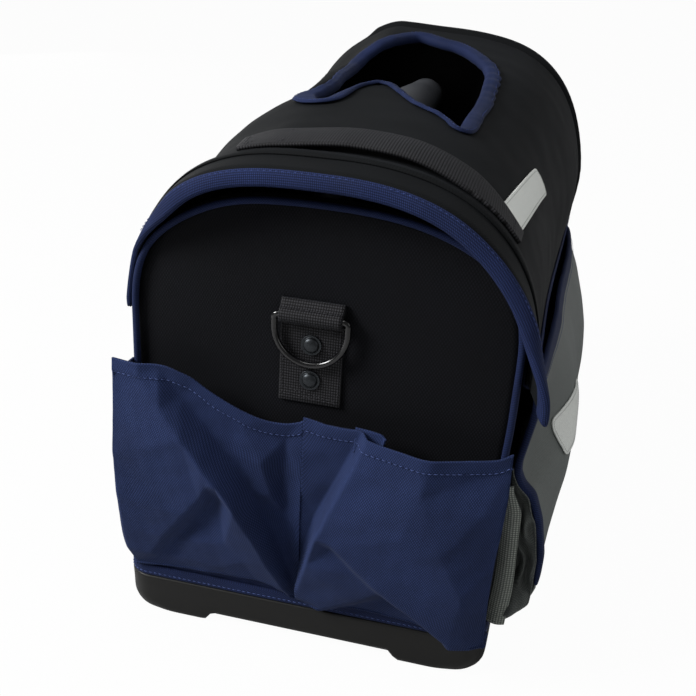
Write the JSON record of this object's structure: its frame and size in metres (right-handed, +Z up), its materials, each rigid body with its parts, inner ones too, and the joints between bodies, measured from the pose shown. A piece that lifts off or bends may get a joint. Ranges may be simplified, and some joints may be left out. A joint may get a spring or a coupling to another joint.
{
  "type": "tool bag",
  "caption": "Open-top soft tool bag on a moulded base, with an arched fold-back lid, inner carry tube, end and side pockets, D-rings and a webbing grab handle.",
  "frame": {"origin": "on the floor under the middle of the bag", "axes": "+Z up, +Y along the bag from the pictured low end to the high rear end, +X to the right side seen from the pictured end"},
  "size_m": [0.3028, 0.4466, 0.3484],
  "materials": {
    "black_fabric": "padded woven polyester, matt",
    "navy_fabric": "woven polyester, matt",
    "grey_fabric": "woven polyester, matt",
    "navy_binding": "ribbed edge tape",
    "grey_binding": "ribbed edge tape",
    "black_webbing": "woven webbing and tape",
    "base_plastic": "moulded, fine texture",
    "board_plastic": "smooth sheet and moulded fittings",
    "tube_metal": "drawn tube, satin",
    "grip_plastic": "soft moulded grip",
    "ring_metal": "black, semi-gloss",
    "rivet_metal": "dark plated",
    "label_white": "bare woven label"
  },
  "bodies": {
    "body": {"base_binding": "navy_binding", "base_board": "board_plastic", "base_tray": "base_plastic", "carry_tube": "tube_metal", "front_board": "board_plastic", "front_bracket": "board_plastic", "front_left_pocket": "navy_fabric", "front_panel": "black_fabric", "front_piping": "navy_binding", "front_right_pocket": "navy_fabric", "front_ring_loop": "black_webbing", "front_rivet_lower": "rivet_metal", "front_rivet_upper": "rivet_metal", "left_gusset": "grey_fabric", "left_gusset_binding": "grey_binding", "left_loop_strip": "black_webbing", "left_panel": "black_fabric", "left_pocket_binding": "navy_binding", "left_pocket_edging": "navy_binding", "left_side_pocket": "grey_fabric", "pocket_label": "label_white", "rear_board": "board_plastic", "rear_bracket": "board_plastic", "rear_hood": "black_fabric", "rear_hood_binding": "navy_binding", "rear_left_pocket": "navy_fabric", "rear_panel": "black_fabric", "rear_piping": "navy_binding", "rear_right_pocket": "navy_fabric", "rear_ring_loop": "black_webbing", "rear_rivet_lower": "rivet_metal", "rear_rivet_upper": "rivet_metal", "rear_seam_tape": "black_webbing", "right_gusset": "grey_fabric", "right_gusset_binding": "grey_binding", "right_loop_strip": "black_webbing", "right_panel": "black_fabric", "right_pocket_binding": "navy_binding", "right_pocket_edging": "navy_binding", "right_side_pocket": "grey_fabric", "tube_grip": "grip_plastic"},
    "lid": {"lid_cover": "black_fabric", "front_hood": "black_fabric", "front_hood_binding": "navy_binding", "left_lid_binding": "navy_binding", "right_lid_binding": "navy_binding", "opening_binding": "navy_binding", "front_seam_tape": "black_webbing", "grab_handle": "black_webbing", "left_hook_strip": "black_webbing", "right_hook_strip": "black_webbing", "lid_label": "label_white"},
    "front_ring": {"front_d_ring": "ring_metal"},
    "rear_ring": {"rear_d_ring": "ring_metal"}
  },
  "joints": [
    {"name": "lid_hinge", "type": "hinge", "parent": "body", "child": "lid", "pos_m": [0, 0.1827, 0.3475], "axis": [-1, 0, 0], "range_deg": [0, 110]},
    {"name": "front_ring_swing", "type": "hinge", "parent": "body", "child": "front_ring", "pos_m": [0, -0.1974, 0.2268], "axis": [-1, 0, 0], "range_deg": [0, 170]},
    {"name": "rear_ring_swing", "type": "hinge", "parent": "body", "child": "rear_ring", "pos_m": [0, 0.1974, 0.2268], "axis": [1, 0, 0], "range_deg": [0, 170]}
  ]
}
